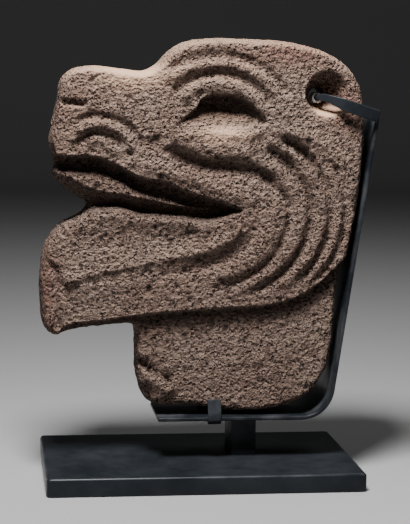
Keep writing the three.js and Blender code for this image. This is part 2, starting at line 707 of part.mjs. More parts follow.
const postHeight = STRAP.underside - BASE.height - 2 * GAP;
addPiece('stone_hacha', makeStone(), STONE_FINISH);
addPiece('base_plate', makeBase(), METAL_FINISH);
addPiece('post', new THREE.BoxGeometry(POST.width, POST.depth, postHeight), METAL_FINISH,
  [POST.x, MIDDLE, BASE.height + GAP + postHeight / 2]);
addPiece('back_strap', makeStrap(), METAL_FINISH);
addPiece('cross_clip', makeClip(), METAL_FINISH);
addPiece('hook_arm', makeArm(), METAL_FINISH);
addPiece('hook_sleeve', makeSleeve(), SLEEVE_FINISH);

export default hacha;
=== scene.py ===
"""Looks of a carved stone hacha on its metal stand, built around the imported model.

Metres, +Z up. The head looks towards -X and its shown face towards -Y. Sizes of the stone and the
stand are in millimetres, and MM turns them into metres. The carving's lines are lists of [x, z] on
the face.
"""
import math

import bpy
import numpy as np
from mathutils import Matrix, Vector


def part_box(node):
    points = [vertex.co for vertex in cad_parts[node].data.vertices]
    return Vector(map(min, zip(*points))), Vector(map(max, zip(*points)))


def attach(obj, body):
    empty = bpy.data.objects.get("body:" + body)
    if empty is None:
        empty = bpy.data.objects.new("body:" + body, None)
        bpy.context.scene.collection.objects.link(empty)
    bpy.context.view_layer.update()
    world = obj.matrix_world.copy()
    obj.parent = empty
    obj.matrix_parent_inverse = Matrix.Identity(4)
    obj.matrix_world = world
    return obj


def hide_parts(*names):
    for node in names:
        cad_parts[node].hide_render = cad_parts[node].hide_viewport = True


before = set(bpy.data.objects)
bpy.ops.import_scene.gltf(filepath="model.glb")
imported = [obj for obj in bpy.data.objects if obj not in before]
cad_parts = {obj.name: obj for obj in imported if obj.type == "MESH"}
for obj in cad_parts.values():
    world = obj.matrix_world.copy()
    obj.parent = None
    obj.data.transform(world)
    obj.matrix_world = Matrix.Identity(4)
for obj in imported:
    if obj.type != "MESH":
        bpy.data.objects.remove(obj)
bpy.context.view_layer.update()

MM = 0.001

# Camera: where it stands, how it is turned, and its focal length in the photograph's pixels
EYE_PLACE = (-0.15092, -1.18839, 0.29376)
YAW, PITCH, ROLL = (math.radians(a) for a in (7.4311, 6.7725, 0.7838))
FOCAL_PX, PHOTO_HEIGHT_PX, SENSOR_MM = 1700.0, 524.0, 36.0
FAR_CLIP = 50.0

# Stand, in millimetres. Every bar's ends are rounded by BAR_END and keep BAR_LEAST of half thickness
BASE_CORNER, BASE_EDGE, BASE_FOOT, BASE_LEAST_CORNER = 3.0, 2.4, 0.5, 0.4
BAR_END, BAR_LEAST = 0.7, 0.05
POST_CORNER, POST_END, POST_OVERLAP = 0.9, 0.1, 0.05
STRAP_LEAN = math.radians(8.1)
STRAP_THICK, STRAP_BEND, STRAP_CORNER, STRAP_TOP_GAP = 2.6, 24.0, 0.7, 0.1
CLIP_THICK, CLIP_LEAN, CLIP_BEND, CLIP_FOOT = 1.8, 4.0, 1.6, 1.2
CLIP_CORNER, CLIP_END, CLIP_TIP_GAP = 0.5, 0.5, 0.3
PIN_X, PIN_Z, PIN_RADIUS, PIN_END = 80.8, 268.6, 2.0, 4.0
SLEEVE_OUTER, SLEEVE_WALL, SLEEVE_CORNER = 3.85, 1.75, 0.5

# The arm's middle line from the strap round to the pin's end, and the size of its blade
ARM_PATH = [
    [122.6, -19.4, 256.2], [116, -22.4, 258.2], [107, -24.8, 261], [98, -24.4, 264], [90, -20.8, 267.2],
    [85.2, -16.6, 268.8], [82.0, -12.6, 268.8], [PIN_X, -9.6, PIN_Z], [PIN_X, -5, PIN_Z],
    [PIN_X, PIN_END, PIN_Z],
]
ARM_HEIGHT, ARM_TIP_HEIGHT, ARM_THICK = 8.4, 5.2, 2.0

# The arm's shares: of its length, where its blade narrows and where it turns into the round pin; the
# power that squares the blade's section, and how far out its edge is worn
ARM_NARROWS, ARM_ROUNDS = (0.36, 0.66), (0.70, 0.78)
ARM_SQUARENESS, ARM_WORN = 0.25, 0.9

# Points round each corner of the plate, a bar and the sleeve's wall; rings to a rounded end; steps along
# the bars and their bends; the arm's step in millimetres; sides of the arm and the sleeve
BASE_CORNER_STEPS, BAR_CORNER_STEPS, SLEEVE_CORNER_STEPS, END_RINGS = 7, 5, 4, 4
POST_STEPS, STRAP_STEPS, STRAP_BEND_STEPS, CLIP_STEPS, CLIP_BEND_STEPS = 12, 120, 30, 60, 8
ARM_STEP, ARM_SIDES, SLEEVE_SIDES = 0.5, 28, 48

# Stone, in millimetres; BACK_RELIEF is the far side's share of the carving's height
MIDDLE = 11.0
SNOUT_THICK, BACK_THICK, SNOUT_X, BACK_X = 48.0, 62.0, -112.0, 114.0
TENON_RECESS, TENON_STEP = 6.0, 1.2
EDGE_ROUND = 7.0
BACK_RELIEF = 0.85
HOLE_X, HOLE_Z, HOLE_NECK, NECK_HALF = 81.5, 269.5, 6.0, 13.0
HOLE_MOUTH_X, HOLE_MOUTH_Z, HOLE_MOUTH, HOLE_FLARE = 86.5, 271.8, 15.4, 1.1

# Steps along the carving's lines and along the fine outline, in millimetres; steps of a curve between
# two of its points, and points of an arch
LINE_STEP, OUTLINE_STEP = 3, 0.25
CURVE_STEPS, ARCH_POINTS = 24, 15

# The grid over the face: cells to a side, rows of the band outside it, the places on the outline where
# its corners go, and for each fineness the cells to a step and the rounds of easing
GRID, BAND_ROWS = 176, 24
GRID_CORNERS = [[-108, 102], [84, 60], [112, 279], [-98, 281]]
EASING = [(4, 900), (2, 350), (1, 200)]

# How often the inner ring is smoothed, how many points to each side give its direction, samples of the
# rounded edge, and the share of the neck's radius inside which the grid's corners are left out
RING_SMOOTHING, TANGENT_REACH, EDGE_SAMPLES, NECK_SHARE = 8, 3, 400, 0.93

# The worn skin. Pits: cell size, seed and share of cells that hold one, then their depth, and in shares
# of a cell their least radius, its growth and their margin. Lumps: size, seed and height
COARSE_PITS, MEDIUM_PITS = (6.5, 11, 0.35), (3.6, 23, 0.7)
COARSE_DEPTH, MEDIUM_DEPTH = 1.3, 1.2
LEAST_PIT, PIT_GROWTH, PIT_MARGIN = 0.2, 0.34, 0.2
LUMPS = [(26, 5, 0.4), (4.2, 9, 0.9)]
SKIN_DEPTH, NECK_MARGIN = 0.7, 0.3
LATTICE_OFFSET = 4096

# Wear and painted highlight: how far a surface faces up and how high it lies before it is rubbed and
# painted pale as if lit, and the shares of it; painted shade: the depth of a hollow and the strip under
# the head's edge in which it is painted dark, and the shares of it
TOP_FACING, TOP_HEIGHT = (0.3, 0.9), (240, 262)
PATCH_WEAR_AND_HIGHLIGHT, TOP_WEAR_AND_HIGHLIGHT, WEAR_SMOOTHS = 0.8, 0.4, 0.75
HOLLOW_DEPTH, LEDGE_START, LEDGE_END = (0.8, 3.6), (-1, 2), (-9, -4)
HOLLOW_SHADE_SHARE, LEDGE_SHADE_SHARE, MEDIUM_PIT_SHADE_SHARE = 0.6, 0.9, 0.7

OUTLINE = [
    [-99, 279], [-90.5, 287], [-76, 289.5], [-54, 287.5], [-41, 286.5], [-31.5, 291], [-22.5, 300.5],
    [-12, 306.5], [2, 309.3], [26, 309.5], [52, 308.7], [71, 305.8], [88, 300.5], [101, 292.5],
    [110, 281.5], [114.5, 267], [116, 242], [111.8, 192], [107.8, 168], [105.3, 156], [100.5, 142],
    [98, 111], [95.7, 86], [90.5, 70.5], [77.5, 54.6], [60, 47], [29, 43.4], [-8, 48], [-28, 48.3],
    [-38.5, 53.5], [-44.5, 70], [-45.5, 87], [-46, 103], [-48, 106.5], [-53, 107], [-71, 105], [-89, 102.8],
    [-103.5, 100], [-110.5, 106.5], [-113, 124], [-112.6, 148], [-109, 164], [-99, 178], [-83.5, 186.5],
    [-80.5, 192.5], [-88, 197.3], [-99.5, 206], [-104.4, 213], [-103.2, 220.5], [-107, 235], [-105.5, 246],
    [-101.5, 265],
][::-1]
HEAD_EDGE = [
    [-99, 94], [-97.5, 104], [-91, 108.5], [-78, 110], [-36, 115.5], [16, 119.5], [45, 121.5], [66, 126.5],
    [80, 134.5], [94, 147.5], [104, 156.5], [116, 166.5],
]
MOUTH_TOP = [
    [-114, 228], [-93, 226], [-75, 226], [-62, 221], [-43, 211], [-27, 209], [-9, 201], [6, 197], [27, 190],
]
MOUTH_BOTTOM = [
    [-112, 170], [-102, 178], [-85, 187], [-75, 189], [-58, 190], [-44, 186], [-19, 184], [5, 182],
    [27, 189],
]
MOUTH_DEPTH, MOUTH_WALL = 13.0, 3.0
TONGUE_TOP = [
    [-112, 224], [-92.5, 221.5], [-75, 220.5], [-61, 216.5], [-47, 209.5], [-30, 203], [-12.5, 198],
    [5, 194], [24, 189.5],
]
TONGUE_BOTTOM = [
    [-112, 212], [-98, 204.5], [-88, 198.5], [-78, 195], [-64, 192], [-50, 190], [-33, 188], [-16, 186.2],
    [2, 186], [22, 188],
]
TONGUE_RISE, TONGUE_ROUNDING = 10.5, 10.0
EYE_TOP = [
    [-30, 240], [-20, 250], [-12, 255.5], [-5, 261], [-1, 267.5], [7, 269.5], [18, 270], [28, 267], [37, 260],
    [45, 252.5], [62, 248],
]
EYE_BOTTOM = [[-32, 239.5], [-13, 244.5], [2, 244], [18, 242.5], [32, 243.5], [46, 246], [62, 247.5]]
EYE_DEPTH, EYE_WALL, EYE_SLOPE = 15.0, 3.0, 26.0

# Families of bands: centre, and for each band its height over the face, its half width, its reach to
# the back and to the front, its rise, its drop, and the angles where it starts and ends
BAND_FAMILIES = [
    ([10, 245], [
        (2.2, 4.6, 35, 33, 32.5, 32.5, 140, 14), (-2.8, 3.0, 41, 40, 40, 40, 142, 20),
        (2.2, 4.6, 48.5, 56, 46, 46, 134, 2), (-2.6, 3.0, 55.5, 59, 51.8, 51.8, 126, 24),
    ]),
    ([-73.5, 221.5], [
        (1.8, 3.2, 13, 12, 15.7, 15.7, 165, 15), (-2.6, 2.3, 20.5, 17.4, 21, 21, 146, 30),
        (2.0, 3.2, 27, 22, 27.2, 27.2, 150, 12), (-2.6, 2.5, 34, 30, 33, 33, 122, 20),
    ]),
    ([3, 187], [
        (1.8, 5.2, 47, 47, 22, 44.5, 20, -92), (-2.8, 2.4, 58, 58, 34.5, 52, 52, -84),
        (1.8, 4.8, 65.5, 65.5, 44.5, 56.5, 52, -78), (-3.4, 2.6, 73.7, 73.7, 52, 61, 56, -68),
        (1.8, 4.6, 81, 81, 63.5, 65.3, 52, -58), (-3.4, 2.6, 88, 88, 66, 69.5, 54, -48),
        (1.8, 4.8, 93.3, 93.3, 88, 72, 22, -46), (-2.8, 2.4, 98.3, 98.3, 84, 74.5, 26, -42),
    ]),
]
BAND_FADE = (0.05, 0.12)

# Single raised and sunk lines: height over the face, half width, share of each end that fades, points
CARVED_LINES = {
    "upper lip": (2.2, 5, (0.1, 0.05), [[-57, 225], [-44, 219], [-27, 217], [-2, 209], [15, 203], [40, 195]]),
    "groove under the cheek": (-5.0, 4.6, (0.15, 0.15), [
        [-27, 234], [-16, 227], [-5, 222.5], [5, 220], [18, 219.5], [30, 217.5], [39.5, 215.5], [47.5, 211],
        [53, 204]]),
    "cheek": (2.0, 7, (0.1, 0.1), [[-19, 236], [8, 232], [36, 233]]),
    "lower lid": (2.2, 4.4, (0.1, 0.05), [[-28, 237], [-14, 242], [2, 243], [18, 242], [32, 243], [44, 246]]),
    "outer cheek band": (2.4, 4.4, (0.1, 0.2), [
        [44, 246], [58, 245], [70, 241.8], [82, 236.5], [91.5, 228.5], [98.5, 218], [102.7, 204],
        [104, 188]]),
    "hollow in the second groove": (-3.0, 3.2, (0.15, 0.4), [[42, 233.5], [51, 230], [60, 223], [68, 214]]),
    "hollow in the third groove": (-2.2, 3.0, (0.15, 0.4), [[54, 239], [63, 235], [73, 228], [82, 220]]),
    "jaw rim": (1.2, 4.5, (0.1, 0.1), [
        [-100, 173], [-82, 184], [-58, 185], [-30, 181], [-2, 178], [20, 180]]),
    "jaw panel": (-1.6, 8, (0.2, 0.1), [[-98, 160], [-60, 168], [-30, 168], [2, 171]]),
    "lower lip": (2.2, 3.4, (0.04, 0.02), [
        [-99, 139], [-92, 140.5], [-77, 145], [-48, 151], [-18, 157], [4, 162.5], [15, 167.5], [23.5, 173],
        [27, 180]]),
    "bulb of the lower lip": (1.8, 5, (0.2, 0.3), [[-96, 139], [-84, 141]]),
    "jaw below the lip": (1.3, 8, (0.1, 0.4), [[-92, 130], [-48, 140], [-18, 146], [4, 151]]),
    "hollow at the mouth corner": (-2.8, 4.6, (0.6, 0.15), [
        [-60, 139], [-30, 143], [4, 151], [22, 160], [33, 170], [37, 184]]),
    "nostril": (-3.0, 1.8, (0.05, 0.2), [[-103, 266.5], [-96, 263.5], [-80, 262]]),
    "fold before the cheek": (-2.2, 2.6, (0.2, 0.2), [[-33, 243], [-31, 234], [-26, 227]]),
    "groove behind the chin": (-2.6, 2.4, (0.1, 0.1), [
        [-113, 156], [-105, 150], [-101, 143], [-100.5, 128], [-99.5, 112], [-97, 104]]),
    "knob under the chin": (1.8, 6.5, (0.1, 0.1), [[-107, 112], [-103, 111]]),
    "break in the tenon corner": (-5.5, 2.4, (0.05, 0.3), [[-48, 82], [-38, 78.5], [-26, 71.5], [-14, 64]]),
    "lump under the break": (5.0, 5.0, (0.15, 0.2), [[-44, 70], [-36, 70], [-25, 64], [-17, 58]]),
}

# Nicks in the face: place, half width and depth
NICKS = [
    ([-90.7, 277], 1.9, 1.8), ([-77, 278.5], 2.0, 2.0), ([-74, 275.5], 1.5, 1.2), ([-52, 266.5], 2.4, 1.8),
    ([-44, 235], 2.6, 2.2), ([-36, 237], 3.2, 2.6), ([-37, 231.5], 2.4, 2.0), ([-51, 228], 2.0, 1.6),
    ([31, 294], 2.2, 1.6), ([-3, 271], 3.0, 1.8),
]

# Patches rubbed smooth and given a painted highlight, and patches stained red: centre and reach in x and z
WEAR_AND_HIGHLIGHT_PATCHES = [([-50, 283], [26, 9]), ([14, 243], [18, 6]), ([87, 258.5], [11, 4.5])]
RED_PATCHES = [([-108, 128], [7, 34]), ([60, 300], [36, 12]), ([100, 262], [12, 20])]

# Finishes. Textures: repeats to a metre, layers of detail and the layers' weight. Bumps in metres
# The darkest stone colour is painted shade for the pits, the carving's hollows and the strip under the head's
# edge; the buff is wear and painted highlight
STONE_SHADE, STONE_BROWN = (0.045, 0.026, 0.020), (0.175, 0.112, 0.086)
STONE_TAN, STONE_PALE = (0.250, 0.168, 0.130), (0.320, 0.228, 0.182)
STONE_BUFF, STONE_RED = (0.520, 0.330, 0.212), (0.210, 0.090, 0.068)
STONE_PATCHES, STONE_GRAIN, STONE_LUMPS = (16, 4, 0.6), (340, 3, 0.6), (230, 2, 0.5)
BUBBLE_SCALE = 330
LUMP_BUMP, GRAIN_BUMP = 0.0030, 0.0150
PATCH_SHARE, STAIN_SHARE, BUFF_SHARE, WEAR_FLATTENS = 0.6, 0.5, 0.75, 0.85
PAINT_DARK, PAINT_DUSTY, PAINT_RUBBED = (0.009, 0.011, 0.014), (0.022, 0.025, 0.029), (0.09, 0.09, 0.095)
DUST, FLECKS, RIPPLES = (35, 6, 0.65), (900, 3, 0.6), (60, 2, 0.55)
FLECK_BUMP, RIPPLE_BUMP = 0.00005, 0.0002
TUBE_GREY, TUBE_PALE = (0.78, 0.80, 0.82), (0.92, 0.93, 0.94)
CLOUDS = (300, 3, 0.55)
FLOOR_GREY = (0.32, 0.32, 0.32, 1)

# Sockets of a node that mixes two colours
MIX_SHARE, MIX_A, MIX_B, MIX_OUT = 0, 6, 7, 2

# Stage, in metres: the floor's extent, the bend and the top of its backdrop; lights as place, target,
# diameter and watts
FLOOR_FRONT, FLOOR_BACK, FLOOR_SIDE, FLOOR_DROP = -4, 2.6, 5.0, 0.0002
BACKDROP_BEND, BACKDROP_TOP, BACKDROP_STEPS = 1.2, 4.5, 24
LIGHTS = {
    "key": ((-0.11, -0.31, 0.86), (0.0, -0.02, 0.20), 0.24, 19),
    "fill": ((-1.4, -0.6, 0.5), (0.0, 0.0, 0.18), 0.8, 0.5),
    "back": ((0.3, 0.9, 1.3), (0.0, 0.0, 0.15), 0.9, 4),
}
SKY_COLOUR, SKY_STRENGTH = (0.86, 0.88, 0.90, 1), 0.02


# Camera

def turned_axes():
    """Right, up and forward of a level camera turned by YAW, tipped down by PITCH and rolled by ROLL."""
    right = np.array([math.cos(YAW), -math.sin(YAW), 0])
    ahead = np.array([math.sin(YAW), math.cos(YAW), 0])
    z = np.array([0, 0, 1])
    forward = ahead * math.cos(PITCH) - z * math.sin(PITCH)
    up = ahead * math.sin(PITCH) + z * math.cos(PITCH)
    rolled_right = right * math.cos(ROLL) + up * math.sin(ROLL)
    rolled_up = -right * math.sin(ROLL) + up * math.cos(ROLL)
    return rolled_right, rolled_up, forward


def make_camera():
    """A camera whose frame is as tall as the photograph, standing at EYE_PLACE and looking forward."""
    right, up, forward = turned_axes()
    lens = bpy.data.cameras.new("photograph")
    lens.sensor_fit = "VERTICAL"
    lens.sensor_height = SENSOR_MM
    lens.lens = FOCAL_PX / PHOTO_HEIGHT_PX * SENSOR_MM
    lens.clip_end = FAR_CLIP
    camera = bpy.data.objects.new("camera", lens)
    columns = np.eye(4)
    columns[:3, 0], columns[:3, 1], columns[:3, 2], columns[:3, 3] = right, up, -forward, EYE_PLACE
    camera.matrix_world = Matrix(columns.tolist())
    bpy.context.scene.collection.objects.link(camera)
    bpy.context.scene.camera = camera


# Meshes

def box_mm(node_name):
    """Lowest and highest corner of a CAD node, in millimetres."""
    return tuple(np.array(corner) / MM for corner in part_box(node_name))


def mesh_object(name, points, faces, attributes=None):
    """A smooth mesh of points in millimetres and a list of faces, put into the scene in metres."""
    mesh = bpy.data.meshes.new(name)
    mesh.from_pydata((np.asarray(points) * MM).tolist(), [], faces)
    mesh.polygons.foreach_set("use_smooth", np.full(len(mesh.polygons), True))
    for key, values in (attributes or {}).items():
        layer = mesh.attributes.new(key, "FLOAT", "POINT")
        layer.data.foreach_set("value", np.asarray(values, np.float32))
    mesh.update()
    piece = bpy.data.objects.new(name, mesh)
    bpy.context.scene.collection.objects.link(piece)
    return piece


def skin(name, rows, loop=False, attributes=None):
    """A closed surface over rows of rings: each ring joins the next, and caps or a loop close the ends."""
    count, around = rows.shape[:2]
    index = np.arange(count * around).reshape(count, around)
    if loop:
        index = np.vstack([index, index[:1]])
    a, b = index[:-1], index[1:]
    quads = np.stack([a, np.roll(a, -1, 1), np.roll(b, -1, 1), b], -1).reshape(-1, 4)
    faces = quads.tolist()
    if not loop:
        faces += [index[0, ::-1].tolist(), index[-1].tolist()]
    return mesh_object(name, rows.reshape(-1, 3), faces, attributes)


def rounded_ring(half_wide, half_tall, corner, steps=BAR_CORNER_STEPS):
    """The points of a rectangle with quarter-round corners, anticlockwise: at each corner a quarter circle
    round a centre that lies the corner's radius in from both sides. Arrays of sizes give one ring each."""
    half_wide, half_tall, corner = (np.asarray(v, float)[..., None] for v in (half_wide, half_tall, corner))
    turn = np.linspace(0, math.pi / 2, steps)
    angles = (np.arange(4)[:, None] * math.pi / 2 + turn).ravel()
    sign_x = np.repeat([1, -1, -1, 1], steps)
    sign_y = np.repeat([1, 1, -1, -1], steps)
    x = sign_x * (half_wide - corner) + corner * np.cos(angles)
    y = sign_y * (half_tall - corner) + corner * np.sin(angles)
    return np.stack([x, y], -1)


def at_lengths(path, lengths):
    """Places and headings on a polyline at the given distances from its start."""
    path = np.asarray(path, float)
    spans = np.linalg.norm(np.diff(path, axis=0), axis=1)
    reached = np.concatenate([[0], np.cumsum(spans)])
    places = np.stack([np.interp(lengths, reached, path[:, k]) for k in range(3)], -1)
    step = reached[-1] * 1e-3
    ahead = np.stack([np.interp(lengths + step, reached, path[:, k]) for k in range(3)], -1)
    behind = np.stack([np.interp(lengths - step, reached, path[:, k]) for k in range(3)], -1)
    heading = ahead - behind
    return places, heading / np.linalg.norm(heading, axis=1, keepdims=True)


def path_length(path):
    """The lengths of a polyline's legs, added up."""
    return np.linalg.norm(np.diff(np.asarray(path, float), axis=0), axis=1).sum()


def flat_bar(name, path, side, size, corner, steps, end_round=BAR_END):
    """A rounded rectangle, as wide and thick as size says, carried along a path. Its ends are rounded by
    rings that shrink as they go out."""
    width, thick = size
    total = path_length(path)
    bow = np.linspace(0, math.pi / 2, END_RINGS)
    lengths = np.concatenate([
        end_round * (1 - np.sin(bow[::-1])), np.linspace(end_round, total - end_round, steps)[1:-1],
        total - end_round * (1 - np.sin(bow))])
    inset = np.concatenate([
        end_round * (1 - np.cos(bow[::-1])), np.zeros(steps - 2), end_round * (1 - np.cos(bow))])
    places, heading = at_lengths(path, lengths)
    side = np.asarray(side, float)
    lift = np.cross(heading, side)
    half_thick = np.maximum(thick / 2 - inset, BAR_LEAST)
    rings = rounded_ring(width / 2 - inset, half_thick, min(corner, thick / 2 - BAR_LEAST))
    rows = places[:, None] + rings[..., :1] * side + rings[..., 1:] * lift[:, None]
    ring = np.abs(rounded_ring(width / 2, thick / 2, corner))
    near_corner = corner * 1.01
    edge = (ring[:, 0] > width / 2 - near_corner) & (ring[:, 1] > thick / 2 - near_corner)
    worn = np.maximum(np.tile(edge, (len(rows), 1)), (inset > 0)[:, None])
    return skin(name, rows, attributes={"edge": worn.ravel()})


# Smooth lines and distances to them

def smooth_line(points, step, closed=False):
    """A smooth curve through the points, resampled at even steps.

    Between two points the curve blends the straight lines through their neighbours, each weighted by
    how far the knot, the root of the spacing, has been passed.
    """
    p = np.array(points, float)
    p = np.vstack([p[-1:], p, p[:2]]) if closed else np.vstack([2 * p[0] - p[1], p, 2 * p[-1] - p[-2]])
    a, b, c, d = (q[:, None, :] for q in (p[:-3], p[1:-2], p[2:-1], p[3:]))
    t1, t2, t3 = np.cumsum([
        np.sqrt(np.linalg.norm(r - q, axis=-1, keepdims=True)) for q, r in ((a, b), (b, c), (c, d))], axis=0)
    between = np.linspace(0, 1, CURVE_STEPS, endpoint=False)[None, :, None]
    t = t1 + between * (t2 - t1)

    def pull(start, end, from_knot, to_knot):
        return ((to_knot - t) * start + (t - from_knot) * end) / (to_knot - from_knot)

    first, second, third = pull(a, b, 0, t1), pull(b, c, t1, t2), pull(c, d, t2, t3)
    curve = pull(pull(first, second, 0, t2), pull(second, third, t1, t3), t1, t2).reshape(-1, p.shape[1])
    curve = np.vstack([curve, curve[:1] if closed else p[-2:-1]])
    reached = np.concatenate([[0], np.cumsum(np.linalg.norm(np.diff(curve, axis=0), axis=1))])
    count = max(2, round(reached[-1] / step))
    marks = np.linspace(0, reached[-1], count + 1)
    return np.stack([np.interp(marks, reached, curve[:, k]) for k in range(p.shape[1])], -1)


def face_line(points):
    """A smooth line on the face, at the step that the carving uses."""
    return smooth_line(points, LINE_STEP)


def arch_line(centre, arch):
    """An elliptical arch whose reach differs to the back and the front, and its rise from its drop."""
    back, front, rise, drop, start, end = arch
    angle = np.radians(np.linspace(start, end, ARCH_POINTS))
    reach = np.where(np.cos(angle) < 0, front, back)
    climb = np.where(np.sin(angle) < 0, drop, rise)
    points = np.stack([centre[0] + reach * np.cos(angle), centre[1] + climb * np.sin(angle)], -1)
    return face_line(points)


def nearest(line, places):
    """For each place: distance to the line, share of the line passed, and side (positive to the left)."""
    distance, along, side = [], [], []
    a, leg = line[:-1], np.diff(line, axis=0)
    length = (leg ** 2).sum(-1)
    pairs_at_once = 3_000_000
    for part in np.array_split(places, max(1, len(places) * len(a) // pairs_at_once)):
        gap = part[:, None, :] - a
        t = np.clip((gap * leg).sum(-1) / length, 0, 1)
        away = gap - t[..., None] * leg
        squared = (away ** 2).sum(-1)
        k = squared.argmin(1)
        row = np.arange(len(part))
        distance.append(np.sqrt(squared[row, k]))
        along.append((k + t[row, k]) / len(a))
        side.append(np.sign(leg[k, 0] * gap[row, k, 1] - leg[k, 1] * gap[row, k, 0]))
    return np.concatenate(distance), np.concatenate(along), np.concatenate(side)


def ramp_up(x, low, high):
    """Zero up to low, one from high on, and a smooth climb between them."""
    t = np.clip((x - low) / (high - low), 0, 1)
    return t * t * (3 - 2 * t)


def bell(places, centre, reach):
    """One at the centre, falling as a bell with the given reach in x and z."""
    return np.exp(-(((places - centre) / reach) ** 2).sum(-1))


def left_of(points, places):
    """How far each place lies to the left of the line through the points; negative to its right."""
    distance, _, side = nearest(face_line(points), places)
    return distance * side


def inset_between(top, bottom, places):
    """How far each place lies inside the strip between a top and a bottom line."""
    return np.minimum(-left_of(top, places), left_of(bottom, places))


# Noise

def cell_value(cells, seed):
    """A number from 0 to 1 for each whole-numbered cell, by multiplying its three indices by large odd
    numbers and stirring the bits of their sum."""
    cells = cells.astype(np.uint32)
    h = (cells[..., 0] * np.uint32(374761393) + cells[..., 1] * np.uint32(668265263)
         + cells[..., 2] * np.uint32(2246822519) + np.uint32(seed * 3266489917 % 2 ** 32))
    h = (h ^ (h >> np.uint32(13))) * np.uint32(1274126177)
    h = (h ^ (h >> np.uint32(16))) * np.uint32(2654435761)
    return (h >> np.uint32(8)).astype(float) / 2 ** 24


def cells_of(places, size):
    """Each place's lattice cell, counted from far enough out to stay above zero, and its share across it."""
    scaled = places / size
    base = np.floor(scaled)
    return base.astype(np.int64) + LATTICE_OFFSET, scaled - base


def soft_noise(places, size, seed):
    """Values at the corners of a lattice of the given size, blended smoothly between them; -1 to 1."""
    cells, f = cells_of(places, size)
    f = ramp_up(f, 0, 1)
    total = 0
    for corner in np.ndindex(2, 2, 2):
        offset = np.array(corner)
        weight = np.prod(np.where(offset, f, 1 - f), axis=-1)
        total = total + weight * cell_value(cells + offset, seed)
    return total * 2 - 1


def layered_noise(places, size, seed, layers=3):
    """Soft noise summed over layers, each half the size and half the weight of the last."""
    return sum(soft_noise(places, size / 2 ** k, seed + k) / 2 ** k for k in range(layers)) / 2


def pits(places, size, seed, share):
    """Depth from 0 to 1 of round pits: one may lie in each cell, at its own place and with its own radius."""
    cells, f = cells_of(places, size)
    depth = np.zeros(len(places))
    for corner in np.ndindex(3, 3, 3):
        offset = np.array(corner) - 1
        cell = cells + offset
        spot = np.stack([cell_value(cell, seed + k) for k in range(3)], -1)
        centre = offset + PIT_MARGIN + (1 - 2 * PIT_MARGIN) * spot
        radius = LEAST_PIT + PIT_GROWTH * cell_value(cell, seed + 3) ** 2
        there = cell_value(cell, seed + 4) < share
        squared = ((f - centre) ** 2).sum(-1) / radius ** 2
        depth = np.maximum(depth, there * radius / (LEAST_PIT + PIT_GROWTH) * np.clip(1 - squared, 0, 1))
    return depth


# The stone

def carved_band(line, places, rise, spread, fade):
    """A raised or sunk line: a bell across it, fading to nothing over a share of each end."""
    distance, along, _ = nearest(line, places)
    ends = ramp_up(along, 0, fade[0]) * ramp_up(1 - along, 0, fade[1])
    return rise * np.exp(-(distance / spread) ** 2) * ends


def carving(places):
    """Height of the face over its plane: every carved line adds its height and every nick sinks it; then
    the mouth and the eye are sunk between their lines, and the tongue stands in the mouth with round
    edges."""
    height = np.zeros(len(places))
    for rise, spread, fade, points in CARVED_LINES.values():
        height += carved_band(face_line(points), places, rise, spread, fade)
    for centre, bands in BAND_FAMILIES:
        for rise, spread, *arch in bands:
            height += carved_band(arch_line(centre, arch), places, rise, spread, BAND_FADE)
    for centre, spread, depth in NICKS:
        height -= depth * bell(places, centre, [spread, spread])
    in_mouth = ramp_up(inset_between(MOUTH_TOP, MOUTH_BOTTOM, places), -MOUTH_WALL / 3, MOUTH_WALL)
    on_tongue = ramp_up(inset_between(TONGUE_TOP, TONGUE_BOTTOM, places), 0, TONGUE_ROUNDING)
    height = height * (1 - in_mouth) - MOUTH_DEPTH * in_mouth + TONGUE_RISE * on_tongue * in_mouth
    brow_wall = ramp_up(-left_of(EYE_TOP, places), 0, EYE_WALL)
    lid_slope = ramp_up(left_of(EYE_BOTTOM, places), 0, EYE_SLOPE)
    return height - EYE_DEPTH * brow_wall * lid_slope


def full_half(places, height):
    """Half of the stone's thickness away from its edge: a wedge from snout to back, less the tenon's step."""
    wedge = SNOUT_THICK + (BACK_THICK - SNOUT_THICK) * ramp_up(places[:, 0], SNOUT_X, BACK_X)
    below = ramp_up(-left_of(HEAD_EDGE, places), -TENON_STEP, TENON_STEP)
    return wedge / 2 - TENON_RECESS * below + height


def from_hole(places):
    """Distance from the middle of the perforation's neck."""
    return np.hypot(places[..., 0] - HOLE_X, places[..., 1] - HOLE_Z)


def cut_funnel(places, half):
    """The perforation's funnel: from the neck out to the mouth's circle the thickness grows to the face's."""
    left = HOLE_MOUTH - np.hypot(places[:, 0] - HOLE_MOUTH_X, places[:, 1] - HOLE_MOUTH_Z)
    out = np.clip(from_hole(places) - HOLE_NECK, 0, None)
    reach = out / np.maximum(out + left, 1e-6)
    cut = NECK_HALF + (half - NECK_HALF) * reach ** HOLE_FLARE
    return np.where(left > 0, cut, half)


def ease_grid(grid, rounds):
    """Moves each inner corner to the place where the grid's two families of lines are evenly spaced and
    keep apart, weighing each pair of neighbours by the stretch of the other pair."""
    for _ in range(rounds):
        east, west = grid[2:, 1:-1], grid[:-2, 1:-1]
        north, south = grid[1:-1, 2:], grid[1:-1, :-2]
        along, across = (east - west) / 2, (north - south) / 2
        a = (across ** 2).sum(-1, keepdims=True)
        b = (along * across).sum(-1, keepdims=True)
        c = (along ** 2).sum(-1, keepdims=True)
        twist = grid[2:, 2:] - grid[:-2, 2:] - grid[2:, :-2] + grid[:-2, :-2]
        grid[1:-1, 1:-1] = (a * (east + west) + c * (north + south) - b * twist / 2) / (2 * (a + c))
    return grid


def ring_indices(n):
    """Row and column of a square grid's rim corners, anticlockwise from the low left one."""
    up, down = np.arange(n), np.arange(n, 0, -1)
    zero, full = np.zeros(n, int), np.full(n, n)
    return np.concatenate([up, full, down, zero]), np.concatenate([zero, up, full, down])


